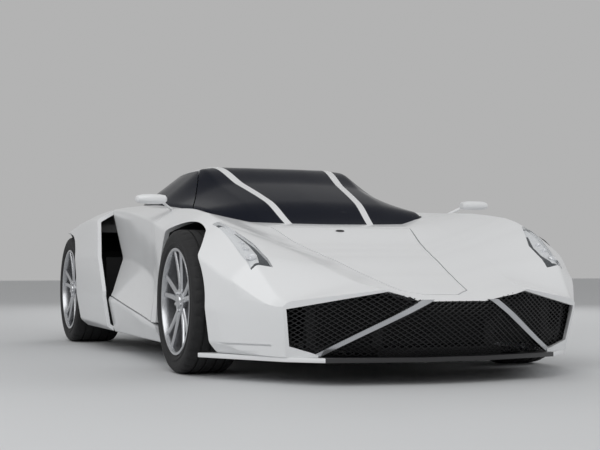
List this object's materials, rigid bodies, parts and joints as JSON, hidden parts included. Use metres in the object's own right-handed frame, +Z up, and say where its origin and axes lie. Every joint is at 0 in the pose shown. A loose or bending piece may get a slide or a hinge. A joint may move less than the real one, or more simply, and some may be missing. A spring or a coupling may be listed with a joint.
{
  "type": "supercar",
  "caption": "Low mid-engined two-seat supercar with wedge nose, twin-ridged spine, side intakes and star-spoke wheels; doors, bonnet and engine cover open, front wheels steer.",
  "frame": {"origin": "centre of the footprint on the ground", "axes": "+X forward along the car, +Y to the car's left, +Z up"},
  "size_m": [4.4764, 2.05, 1.112],
  "materials": {
    "paint": "gloss",
    "glass": "gloss",
    "carbon": "satin",
    "black_plastic": "matte",
    "mesh_black": "satin",
    "lamp_red": "gloss",
    "copper": "satin",
    "silver": "polished",
    "lamp_inner": "polished",
    "lamp_clear": "gloss",
    "alloy": "polished",
    "disc_steel": "brushed",
    "tyre": "matte",
    "cast": "matte",
    "engine_alloy": "satin",
    "leather": "satin",
    "exhaust_chrome": "polished"
  },
  "bodies": {
    "body": {"front_body": "paint", "sills": "paint", "roof": "paint", "windscreen": "glass", "rear_body": "paint", "tail_mesh": "mesh_black", "tail_lamps": "lamp_red", "tail_panel": "copper", "front_mesh": "mesh_black", "front_bars": "silver", "splitter": "carbon", "diffuser": "carbon", "exhausts": "exhaust_chrome", "headlamp_lenses": "lamp_clear", "headlamp_inserts": "lamp_inner", "tub": "black_plastic", "engine": "engine_alloy", "dashboard": "leather", "steering_wheel": "leather", "seat_left": "leather", "seat_right": "leather", "wishbones_front": "cast", "rear_suspension": "cast"},
    "bonnet": {"bonnet": "paint"},
    "engine_cover": {"engine_cover": "paint"},
    "door_left": {"door_left": "paint", "glass_left": "glass", "mirror_left": "paint"},
    "door_right": {"door_right": "paint", "glass_right": "glass", "mirror_right": "paint"},
    "steering_left": {"knuckle_left": "cast"},
    "steering_right": {"knuckle_right": "cast"},
    "wheel_front_left": {"tyre_front_left": "tyre", "rim_front_left": "alloy", "disc_front_left": "disc_steel"},
    "wheel_front_right": {"tyre_front_right": "tyre", "rim_front_right": "alloy", "disc_front_right": "disc_steel"},
    "wheel_rear_left": {"tyre_rear_left": "tyre", "rim_rear_left": "alloy", "disc_rear_left": "disc_steel"},
    "wheel_rear_right": {"tyre_rear_right": "tyre", "rim_rear_right": "alloy", "disc_rear_right": "disc_steel"}
  },
  "joints": [
    {"name": "steer_left", "type": "hinge", "parent": "body", "child": "steering_left", "pos_m": [1.22, 0.8, 0.337], "axis": [0, 0, 1], "range_deg": [-30, 30]},
    {"name": "steer_right", "type": "hinge", "parent": "body", "child": "steering_right", "pos_m": [1.22, -0.8, 0.337], "axis": [0, 0, 1], "range_deg": [-30, 30]},
    {"name": "spin_front_left", "type": "hinge", "parent": "steering_left", "child": "wheel_front_left", "pos_m": [1.22, 0.85, 0.337], "axis": [0, 1, 0], "continuous": true},
    {"name": "spin_front_right", "type": "hinge", "parent": "steering_right", "child": "wheel_front_right", "pos_m": [1.22, -0.85, 0.337], "axis": [0, 1, 0], "continuous": true},
    {"name": "spin_rear_left", "type": "hinge", "parent": "body", "child": "wheel_rear_left", "pos_m": [-1.46, 0.82, 0.35], "axis": [0, 1, 0], "continuous": true},
    {"name": "spin_rear_right", "type": "hinge", "parent": "body", "child": "wheel_rear_right", "pos_m": [-1.46, -0.82, 0.35], "axis": [0, 1, 0], "continuous": true},
    {"name": "open_door_left", "type": "hinge", "parent": "body", "child": "door_left", "pos_m": [0.832, 0.905, 0.5], "axis": [0, 0, -1], "range_deg": [0, 65]},
    {"name": "open_door_right", "type": "hinge", "parent": "body", "child": "door_right", "pos_m": [0.832, -0.905, 0.5], "axis": [0, 0, 1], "range_deg": [0, 65]},
    {"name": "open_bonnet", "type": "hinge", "parent": "body", "child": "bonnet", "pos_m": [0.86, 0, 0.675], "axis": [0, -1, 0], "range_deg": [0, 50]},
    {"name": "open_engine_cover", "type": "hinge", "parent": "body", "child": "engine_cover", "pos_m": [-0.66, 0, 1.015], "axis": [0, 1, 0], "range_deg": [0, 45]}
  ],
  "couplings": [
    {"joint": "steer_right", "follows": "steer_left", "ratio": 1}
  ]
}
